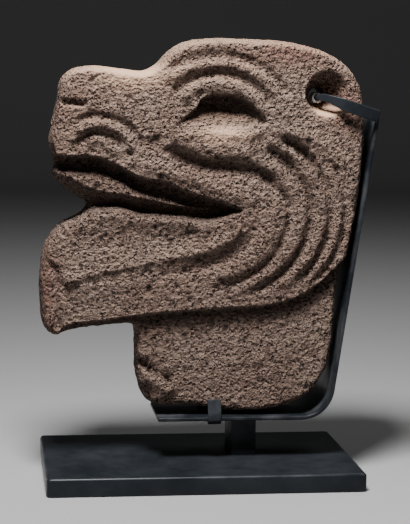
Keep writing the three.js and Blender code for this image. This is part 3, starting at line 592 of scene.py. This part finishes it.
def blended_grid(ring, n):
    """A first grid inside a ring of 4n points: opposite sides blended, less the blend of the four corners."""
    low, right, top = ring[:n + 1], ring[n:2 * n + 1], ring[2 * n:3 * n + 1][::-1]
    left = np.vstack([ring[3 * n:], ring[:1]])[::-1]
    u = np.linspace(0, 1, n + 1)[:, None, None]
    v = np.linspace(0, 1, n + 1)[None, :, None]
    sides = (1 - v) * low[:, None] + v * top[:, None] + (1 - u) * left[None] + u * right[None]
    corners = ((1 - u) * (1 - v) * low[0] + u * (1 - v) * low[-1] + (1 - u) * v * top[0] + u * v * top[-1])
    return sides - corners


def face_grid(ring, n):
    """A square grid over the face whose rim is the ring: eased on a coarse grid, then doubled and eased."""
    coarsest, first_rounds = EASING[0]
    grid = ease_grid(blended_grid(ring[::coarsest], n // coarsest), first_rounds)
    for step, rounds in EASING[1:]:
        m = n // step
        finer = np.zeros((m + 1, m + 1, 2))
        finer[::2, ::2] = grid
        finer[1::2, ::2] = (finer[:-1:2, ::2] + finer[2::2, ::2]) / 2
        finer[:, 1::2] = (finer[:, :-1:2] + finer[:, 2::2]) / 2
        finer[ring_indices(m)] = ring[::step]
        grid = ease_grid(finer, rounds)
    return grid


def outline_ring(n):
    """4n points on the outline, n to a side between four chosen corners, and the same ring set in."""
    dense = smooth_line(OUTLINE, OUTLINE_STEP, closed=True)[:-1]
    starts = [np.hypot(*(dense - corner).T).argmin() for corner in np.array(GRID_CORNERS, float)]
    dense = np.roll(dense, -starts[0], axis=0)
    marks = [(s - starts[0]) % len(dense) for s in starts] + [len(dense)]
    places = np.concatenate([np.linspace(a, b, n, endpoint=False) for a, b in zip(marks, marks[1:])])
    closed = np.vstack([dense, dense[:1]])
    outer = np.stack([np.interp(places, np.arange(len(closed)), closed[:, k]) for k in range(2)], -1)
    tangent = np.roll(outer, -TANGENT_REACH, 0) - np.roll(outer, TANGENT_REACH, 0)
    inward = np.stack([-tangent[:, 1], tangent[:, 0]], -1)
    inner = outer + EDGE_ROUND * inward / np.linalg.norm(inward, axis=1, keepdims=True)
    for _ in range(RING_SMOOTHING):
        inner = (np.roll(inner, 1, 0) + 2 * inner + np.roll(inner, -1, 0)) / 4
    return outer, inner


def edge_profile(rows):
    """Shares in and up of the rounded edge, from the face to the rim: the two cubed add up to one, and the
    rows are evenly spaced along the edge's real length."""
    angle = np.linspace(math.pi / 2, 0, EDGE_SAMPLES)
    out, up = np.cos(angle) ** (2 / 3), np.sin(angle) ** (2 / 3)
    half = (SNOUT_THICK + BACK_THICK) / 4
    reached = np.concatenate([[0], np.cumsum(np.hypot(np.diff(out) * EDGE_ROUND, np.diff(up) * half))])
    marks = np.linspace(0, reached[-1], rows + 1)[1:]
    return np.interp(marks, reached, out), np.interp(marks, reached, up)


def point_normals(points, quads):
    """Each point's normal: the sum of the normals of the faces round it."""
    a, b, c, d = (points[quads[:, k]] for k in range(4))
    face = np.cross(c - a, d - b)
    normal = np.zeros_like(points)
    for k in range(4):
        for axis in range(3):
            normal[:, axis] += np.bincount(quads[:, k], face[:, axis], len(points))
    return normal / np.maximum(np.linalg.norm(normal, axis=1, keepdims=True), 1e-12)


def stone_faces(n, rows, keep, count):
    """Quads over the face's grid and the band outside it, for the near side and turned for the far side."""
    index = np.arange((n + 1) ** 2).reshape(n + 1, n + 1)
    cells = np.stack([index[:-1, :-1], index[1:, :-1], index[1:, 1:], index[:-1, 1:]], -1)[keep]
    rings = np.vstack([index[ring_indices(n)], (n + 1) ** 2 + np.arange(rows * 4 * n).reshape(rows, 4 * n)])
    a, b = rings[:-1], rings[1:]
    band = np.stack([a, b, np.roll(b, -1, 1), np.roll(a, -1, 1)], -1).reshape(-1, 4)
    near = np.vstack([cells, band])
    rim = count - 4 * n
    far = np.where(near < rim, near + count, near)[:, ::-1]
    return near, far


def neck_faces(n, gone, count):
    """Quads through the neck: one for each cell side that lies between a kept cell and a gone one."""
    index = np.arange((n + 1) ** 2).reshape(n + 1, n + 1)
    low, high = gone[:-1] & ~gone[1:], ~gone[:-1] & gone[1:]
    a, b = index[1:-1, :-1], index[1:-1, 1:]
    pairs = [np.stack([a[low], b[low]], -1), np.stack([b[high], a[high]], -1)]
    low, high = gone[:, :-1] & ~gone[:, 1:], ~gone[:, :-1] & gone[:, 1:]
    a, b = index[:-1, 1:-1], index[1:, 1:-1]
    pairs += [np.stack([b[low], a[low]], -1), np.stack([a[high], b[high]], -1)]
    edge = np.vstack(pairs)
    return np.stack([edge[:, 0], edge[:, 1], edge[:, 1] + count, edge[:, 0] + count], -1)


def open_neck(grid):
    """Which of the grid's cells lie in the neck; the corners round them are pulled onto its circle."""
    n = len(grid) - 1
    spread = from_hole(grid)
    inside = spread < HOLE_NECK * NECK_SHARE
    gone = inside[:-1, :-1] | inside[1:, :-1] | inside[1:, 1:] | inside[:-1, 1:]
    lip = np.zeros_like(inside)
    for di, dj in np.ndindex(2, 2):
        lip[di:n + di, dj:n + dj] |= gone
    lip &= ~inside
    pull = (HOLE_NECK / spread[lip])[:, None]
    grid[lip] = [HOLE_X, HOLE_Z] + (grid[lip] - [HOLE_X, HOLE_Z]) * pull
    return gone


def stone_shell():
    """The carved stone before its wear: points, faces, and the height of the carving at each point.

    The near and the far side share one grid of places on the profile. Each is set out from the middle
    plane by half the thickness there, and they meet at the rim and through the neck.
    """
    n, rows = GRID, BAND_ROWS
    outer, inner = outline_ring(n)
    grid = face_grid(inner, n)
    gone = open_neck(grid)
    out, up = edge_profile(rows)
    band = inner + (outer - inner) * out[:, None, None]
    places = np.vstack([grid.reshape(-1, 2), band.reshape(-1, 2)])
    share = np.concatenate([np.ones((n + 1) ** 2), np.repeat(up, 4 * n)])
    height = carving(places)
    sides = []
    for way, relief in ((-1, 1), (1, BACK_RELIEF)):
        half = cut_funnel(places, full_half(places, relief * height) * share)
        sides.append(np.stack([places[:, 0], MIDDLE + way * half, places[:, 1]], -1))
    points = np.vstack(sides)
    count = len(places)
    near_faces, far_faces = stone_faces(n, rows, ~gone, count)
    faces = np.vstack([near_faces, far_faces, neck_faces(n, gone, count)])
    used = np.zeros(len(points), bool)
    used[faces] = True
    renumber = np.cumsum(used) - 1
    return points[used], renumber[faces], np.tile(height, 2)[used]


def patchwork(flat, patches):
    """The strongest of the patches at each place."""
    return np.max([bell(flat, *patch) for patch in patches], axis=0)


def make_stone():
    """The worn stone. Every point of the shell sinks along its normal by lumps and pits, less where the
    stone is rubbed and not at all in the neck. Wear with a painted highlight on upward-facing and lit
    parts, red stain, and painted shade in the pits, hollows and under the head's edge go with the mesh as its
    attributes."""
    points, faces, heights = stone_shell()
    normal = point_normals(points, faces)
    flat = points[:, [0, 2]]
    # Wear and painted highlight: high, upward-facing surfaces and the patches are marked to be painted pale
    # and rubbed smooth
    on_top = ramp_up(normal[:, 2], *TOP_FACING) * ramp_up(points[:, 2], *TOP_HEIGHT)
    worn = np.clip(patchwork(flat, WEAR_AND_HIGHLIGHT_PATCHES) * PATCH_WEAR_AND_HIGHLIGHT + on_top * TOP_WEAR_AND_HIGHLIGHT, 0, 1)
    # Painted shade: the carving's hollows, the strip under the head's edge and the pits are marked to be
    # painted dark
    above_edge = left_of(HEAD_EDGE, flat)
    ledge = ramp_up(-above_edge, *LEDGE_START) * ramp_up(above_edge, *LEDGE_END)
    recess_shade = np.clip(ramp_up(-heights, *HOLLOW_DEPTH) * HOLLOW_SHADE_SHARE + ledge * LEDGE_SHADE_SHARE, 0, 1)
    coarse, medium = pits(points, *COARSE_PITS), pits(points, *MEDIUM_PITS)
    lumps = sum(layered_noise(points, size, seed) * tall for size, seed, tall in LUMPS)
    rough = 1 - WEAR_SMOOTHS * worn
    sink = SKIN_DEPTH + (lumps + coarse * COARSE_DEPTH + medium * MEDIUM_DEPTH) * rough
    sink[from_hole(flat) < HOLE_NECK + NECK_MARGIN] = 0
    low, high = box_mm("stone_hacha")
    points = np.clip(points - normal * np.clip(sink, 0, None)[:, None], low, high)
    recess_shade = np.maximum(np.maximum(coarse, medium * MEDIUM_PIT_SHADE_SHARE) * rough, recess_shade)
    attributes = {"worn": worn, "red": patchwork(flat, RED_PATCHES), "painted_shade": recess_shade}
    return mesh_object("carved_stone", points, faces, attributes)


# The stand

def make_base():
    """A rounded rectangle at each height: its inset follows the rounded foot and top edge."""
    low, high = box_mm("base_plate")
    turn = np.linspace(0, math.pi / 2, BASE_CORNER_STEPS)
    inset = np.concatenate([BASE_FOOT * (1 - np.sin(turn)), BASE_EDGE * (1 - np.cos(turn))])
    level = np.concatenate([BASE_FOOT * (1 - np.cos(turn)), high[2] - BASE_EDGE * (1 - np.sin(turn))])
    half = (high - low)[:2] / 2
    corner = np.maximum(BASE_CORNER - inset, BASE_LEAST_CORNER)
    rings = rounded_ring(half[0] - inset, half[1] - inset, corner, BASE_CORNER_STEPS)
    heights = np.broadcast_to(level[:, None, None], (*rings.shape[:2], 1))
    rows = np.concatenate([rings, heights], -1)
    edge = np.repeat(np.concatenate([np.zeros(BASE_CORNER_STEPS), np.sin(turn * 2)]), rows.shape[1])
    return skin("stand_base_plate", rows, attributes={"edge": edge})


def make_post():
    """A square bar with softened corners, standing from the plate up to the strap."""
    low, high = box_mm("post")
    foot = box_mm("base_plate")[1][2] - POST_OVERLAP
    top = box_mm("back_strap")[0][2] + POST_OVERLAP
    x, y = (low + high)[:2] / 2
    width, depth = (high - low)[:2]
    path = [[x, y, foot], [x, y, top]]
    return flat_bar("stand_post", path, [0, 1, 0], (depth, width), POST_CORNER, POST_STEPS, POST_END)


def strap_middle():
    """The strap's middle line: level under the stone, a round bend, then straight up at its lean."""
    low, high = box_mm("back_strap")
    radius = STRAP_BEND - STRAP_THICK / 2
    rise = math.tan(STRAP_LEAN)
    foot_x = high[0] - (high[2] - low[2]) * rise
    start = foot_x - STRAP_BEND * math.tan((math.pi / 2 - STRAP_LEAN) / 2)
    angle = np.linspace(-math.pi / 2, -STRAP_LEAN, STRAP_BEND_STEPS)
    bend = np.stack([start + radius * np.cos(angle), low[2] + STRAP_BEND + radius * np.sin(angle)], -1)
    top_z = high[2] - STRAP_TOP_GAP
    top = [bend[-1, 0] + (top_z - bend[-1, 1]) * rise, top_z]
    line = np.vstack([[low[0], low[2] + STRAP_THICK / 2], bend, top])
    return np.column_stack([line[:, 0], np.full(len(line), MIDDLE), line[:, 1]])


def make_strap():
    """The strap's rounded section carried along its middle line."""
    low, high = box_mm("back_strap")
    size = (high[1] - low[1], STRAP_THICK)
    return flat_bar("stand_back_strap", strap_middle(), [0, 1, 0], size, STRAP_CORNER, STRAP_STEPS)


def make_clip():
    """A narrow strip under the strap whose ends turn up at each side and lean in to the stone."""
    low, high = box_mm("cross_clip")
    middle = low[2] + CLIP_THICK / 2
    reach = (high[1] - low[1]) / 2 - CLIP_THICK / 2
    turn = np.linspace(-math.pi / 2, 0, CLIP_BEND_STEPS)
    corner = np.stack(
        [reach + CLIP_BEND * (np.cos(turn) - 1), middle + CLIP_BEND * (np.sin(turn) + 1)], -1)
    shoulder = [reach, box_mm("back_strap")[0][2] + STRAP_THICK + CLIP_FOOT]
    tip = [reach - CLIP_LEAN, high[2] - CLIP_TIP_GAP]
    far = np.vstack([corner, shoulder, tip])
    line = np.vstack([far[::-1] * [-1, 1], far])
    x = (low[0] + high[0]) / 2
    path = np.column_stack([np.full(len(line), x), MIDDLE + line[:, 0], line[:, 1]])
    size = (high[0] - low[0], CLIP_THICK)
    return flat_bar("stand_cross_clip", path, [1, 0, 0], size, CLIP_CORNER, CLIP_STEPS, CLIP_END)


def make_arm():
    """A superellipse carried along the arm's curve: a thin upright blade that narrows into a round pin."""
    curve = smooth_line(ARM_PATH, ARM_STEP)
    share = np.linspace(0, 1, len(curve))
    heading = np.gradient(curve, axis=0)
    heading /= np.linalg.norm(heading, axis=1, keepdims=True)
    up = np.array([0, 0, 1.0]) - heading * heading[:, 2:]
    up /= np.linalg.norm(up, axis=1, keepdims=True)
    across = np.cross(heading, up)
    roundness = ramp_up(share, *ARM_ROUNDS)
    blade = ARM_HEIGHT + (ARM_TIP_HEIGHT - ARM_HEIGHT) * ramp_up(share, *ARM_NARROWS)
    tall = blade / 2 + (PIN_RADIUS - blade / 2) * roundness
    thick = ARM_THICK / 2 + (PIN_RADIUS - ARM_THICK / 2) * roundness
    power = (ARM_SQUARENESS + (1 - ARM_SQUARENESS) * roundness)[:, None]
    angle = 2 * math.pi * (np.arange(ARM_SIDES) + 0.5) / ARM_SIDES
    cos, sin = np.cos(angle), np.sin(angle)
    a = tall[:, None] * np.sign(cos) * np.abs(cos) ** power
    b = thick[:, None] * np.sign(sin) * np.abs(sin) ** power
    rows = curve[:, None] + up[:, None] * a[..., None] + across[:, None] * b[..., None]
    edge = (np.abs(a) > tall[:, None] * ARM_WORN) * (1 - roundness[:, None])
    return skin("stand_hook_arm", rows, attributes={"edge": edge.ravel()})


def make_sleeve():
    """A tube round the pin: its wall's rounded section turned about the pin's axis."""
    low, high = box_mm("hook_sleeve")
    length = high[1] - low[1]
    section = rounded_ring(SLEEVE_WALL / 2, length / 2, SLEEVE_CORNER, SLEEVE_CORNER_STEPS)
    radius = SLEEVE_OUTER - SLEEVE_WALL / 2 + section[:, 0]
    angle = np.linspace(0, 2 * math.pi, SLEEVE_SIDES, endpoint=False)[:, None]
    x, z = PIN_X + radius * np.cos(angle), PIN_Z + radius * np.sin(angle)
    y = np.broadcast_to((low[1] + high[1]) / 2 + section[:, 1], x.shape)
    return skin("stand_hook_sleeve", np.stack([x, y, z], -1), loop=True)


# Materials

def node(tree, kind, inputs=None, **settings):
    """A shader node; an input that is another node's output is linked, any other is set as it is."""
    made = tree.nodes.new(kind)
    for key, value in settings.items():
        setattr(made, key, value)
    for key, value in (inputs or {}).items():
        if isinstance(value, bpy.types.NodeSocket):
            tree.links.new(value, made.inputs[key])
        else:
            made.inputs[key].default_value = value
    return made


def start_material(name, **plain):
    """A material of one Principled shader whose plain values are set on its own sockets."""
    material = bpy.data.materials.new(name)
    material.use_nodes = True
    tree = material.node_tree
    shader = tree.nodes["Principled BSDF"]
    for key, value in plain.items():
        shader.inputs[key.replace("_", " ")].default_value = value
    return material, tree, shader


def object_coords(tree):
    """The piece's own coordinates, in metres."""
    return node(tree, "ShaderNodeTexCoord").outputs["Object"]


def noise(tree, coords, scale, detail, roughness):
    """Soft noise summed over layers of ever finer detail, from 0 to 1."""
    inputs = {"Vector": coords, "Scale": scale, "Detail": detail, "Roughness": roughness}
    return node(tree, "ShaderNodeTexNoise", inputs).outputs["Fac"]


def ramp(tree, value, *stops):
    """A colour or grey ramp; each stop is its place and a grey number or three colour numbers."""
    made = node(tree, "ShaderNodeValToRGB", {"Fac": value})
    band = made.color_ramp
    while len(band.elements) < len(stops):
        band.elements.new(0.5)
    for element, (place, colour) in zip(band.elements, stops):
        element.position = place
        colour = (colour,) * 3 if isinstance(colour, (int, float)) else colour
        element.color = (*colour, 1)
    return made.outputs["Color"]


def mix(tree, share, a, b, blend="MIX"):
    """Blends two colours, each a node's output or three colour numbers."""
    a, b = ((*colour, 1) if isinstance(colour, tuple) else colour for colour in (a, b))
    inputs = {MIX_SHARE: share, MIX_A: a, MIX_B: b}
    return node(tree, "ShaderNodeMix", inputs, data_type="RGBA", blend_type=blend).outputs[MIX_OUT]


def sums(tree, operation, a, b):
    """The sum, difference or product of two values, each a node's output or a number."""
    return node(tree, "ShaderNodeMath", {0: a, 1: b}, operation=operation).outputs[0]


def bump(tree, height, distance, strength, under=None):
    """A normal tilted by the slope of a height pattern, over the normal that lies under it."""
    inputs = {"Height": height, "Distance": distance, "Strength": strength}
    if under:
        inputs["Normal"] = under
    return node(tree, "ShaderNodeBump", inputs).outputs["Normal"]


def attribute(tree, name):
    """A value that the mesh carries at each point."""
    return node(tree, "ShaderNodeAttribute", attribute_name=name).outputs["Fac"]


def stone_material():
    """Vesicular reddish-brown stone: nearly even in colour, with its grain and bubbles as strong bumps;
    painted shade dark in the pits, hollows and under the head's edge, red where it is stained, buff and
    smooth where it is worn, and the same buff as a painted highlight on lit, upward-facing parts."""
    material, tree, shader = start_material("worn volcanic stone", Roughness=0.93, Specular_IOR_Level=0.2)
    coords = object_coords(tree)
    worn = attribute(tree, "worn")
    grain = noise(tree, coords, *STONE_GRAIN)
    cells = node(tree, "ShaderNodeTexVoronoi", {"Vector": coords, "Scale": BUBBLE_SCALE, "Randomness": 1})
    bubbles = ramp(tree, cells.outputs["Distance"], (0.12, 0.0), (0.42, 1.0))
    plateau = ramp(tree, grain, (0.30, 0.0), (0.70, 1.0))
    level = sums(tree, "MULTIPLY", sums(tree, "ADD", plateau, bubbles), 0.5)
    # The grain's own tone follows its height, with painted shade darkening its low spots and bubbles
    colour = ramp(tree, level, (0.1, STONE_BROWN), (0.5, STONE_TAN), (0.9, STONE_PALE))
    patches = ramp(tree, noise(tree, coords, *STONE_PATCHES), (0.42, 0.0), (0.66, 0.5))
    colour = mix(tree, patches, colour, mix(tree, PATCH_SHARE, colour, STONE_RED, "OVERLAY"))
    # Painted shade: darker in the pits, the carving's hollows and the strip under the head's edge
    painted_shade = ramp(tree, attribute(tree, "painted_shade"), (0.15, 0.0), (0.85, 0.75))
    colour = mix(tree, painted_shade, colour, STONE_SHADE)
    colour = mix(tree, sums(tree, "MULTIPLY", attribute(tree, "red"), STAIN_SHARE), colour, STONE_RED)
    # Buff where the stone is worn, and the same buff as a painted highlight on lit, upward-facing parts
    colour = mix(tree, sums(tree, "MULTIPLY", worn, BUFF_SHARE), colour, STONE_BUFF)
    tree.links.new(colour, shader.inputs["Base Color"])
    rough = sums(tree, "SUBTRACT", 1.0, sums(tree, "MULTIPLY", worn, WEAR_FLATTENS))
    normal = bump(tree, noise(tree, coords, *STONE_LUMPS), LUMP_BUMP, rough)
    normal = bump(tree, level, GRAIN_BUMP, rough, normal)
    tree.links.new(normal, shader.inputs["Normal"])
    return material


def metal_material():
    """Satin black paint with faint ripples, dust on it and lighter worn edges."""
    material, tree, shader = start_material("satin black paint", Specular_IOR_Level=0.15)
    coords = object_coords(tree)
    dust = noise(tree, coords, *DUST)
    colour = ramp(tree, dust, (0.35, PAINT_DARK), (0.75, PAINT_DUSTY))
    rubbed = ramp(tree, sums(tree, "MULTIPLY", attribute(tree, "edge"), dust), (0.42, 0.0), (0.62, 0.35))
    colour = mix(tree, rubbed, colour, PAINT_RUBBED)
    tree.links.new(colour, shader.inputs["Base Color"])
    tree.links.new(ramp(tree, dust, (0.3, 0.28), (0.8, 0.46)), shader.inputs["Roughness"])
    normal = bump(tree, noise(tree, coords, *FLECKS), FLECK_BUMP, 0.5)
    normal = bump(tree, noise(tree, coords, *RIPPLES), RIPPLE_BUMP, 0.3, normal)
    tree.links.new(normal, shader.inputs["Normal"])
    return material


def sleeve_material():
    """Pale translucent tube, slightly clouded."""
    material, tree, shader = start_material(
        "clouded tube", Roughness=0.35, IOR=1.45, Transmission_Weight=0.1)
    cloud = noise(tree, object_coords(tree), *CLOUDS)
    colour = ramp(tree, cloud, (0.3, TUBE_GREY), (0.7, TUBE_PALE))
    tree.links.new(colour, shader.inputs["Base Color"])
    return material


def floor_material():
    """Plain pale grey, with no pattern."""
    return start_material("pale floor", Roughness=0.85, Base_Color=FLOOR_GREY)[0]


# Stage

def make_floor():
    """A level floor that bends up into a backdrop far behind: one profile carried across."""
    turn = np.linspace(-math.pi / 2, 0, BACKDROP_STEPS)
    bend = np.stack([FLOOR_BACK + BACKDROP_BEND * np.cos(turn), BACKDROP_BEND * (1 + np.sin(turn))], -1)
    line = np.vstack([[FLOOR_FRONT, 0], bend, [FLOOR_BACK + BACKDROP_BEND, BACKDROP_TOP]])
    line[:, 1] -= FLOOR_DROP
    sides = [np.column_stack([np.full(len(line), x), line]) for x in (-FLOOR_SIDE, FLOOR_SIDE)]
    a = np.arange(len(line) - 1)
    quads = np.stack([a, a + len(line), a + len(line) + 1, a + 1], -1)
    floor = mesh_object("floor", np.concatenate(sides) / MM, quads)
    floor.data.materials.append(floor_material())


def aim(place, target):
    """A matrix that stands at a place with its -Z axis towards the target."""
    back = np.array(place, float) - target
    back /= np.linalg.norm(back)
    side = np.cross([0, 0, 1], back)
    side /= np.linalg.norm(side)
    columns = np.eye(4)
    columns[:3, 0], columns[:3, 1], columns[:3, 2], columns[:3, 3] = side, np.cross(back, side), back, place
    return Matrix(columns.tolist())


def make_light(name, place, target, size, power):
    """A round lamp of the given diameter and power, turned towards the target."""
    light = bpy.data.lights.new(name, "AREA")
    light.shape = "DISK"
    light.size = size
    light.energy = power
    lamp = bpy.data.objects.new(name, light)
    lamp.matrix_world = aim(place, target)
    bpy.context.scene.collection.objects.link(lamp)


def make_stage():
    """The floor, the lamps and a faint even sky."""
    make_floor()
    for name, light in LIGHTS.items():
        make_light(name, *light)
    world = bpy.data.worlds.new("studio")
    world.use_nodes = True
    background = world.node_tree.nodes["Background"]
    background.inputs["Color"].default_value = SKY_COLOUR
    background.inputs["Strength"].default_value = SKY_STRENGTH
    bpy.context.scene.world = world


def place_piece(piece, node_name, material):
    """Gives a piece its finish, lets it ride on the root body and puts it in its CAD node's place."""
    piece.data.materials.append(material)
    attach(piece, "root")
    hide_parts(node_name)


make_camera()
make_stage()
place_piece(make_stone(), "stone_hacha", stone_material())
stand_paint = metal_material()
place_piece(make_base(), "base_plate", stand_paint)
place_piece(make_post(), "post", stand_paint)
place_piece(make_strap(), "back_strap", stand_paint)
place_piece(make_clip(), "cross_clip", stand_paint)
place_piece(make_arm(), "hook_arm", stand_paint)
place_piece(make_sleeve(), "hook_sleeve", sleeve_material())
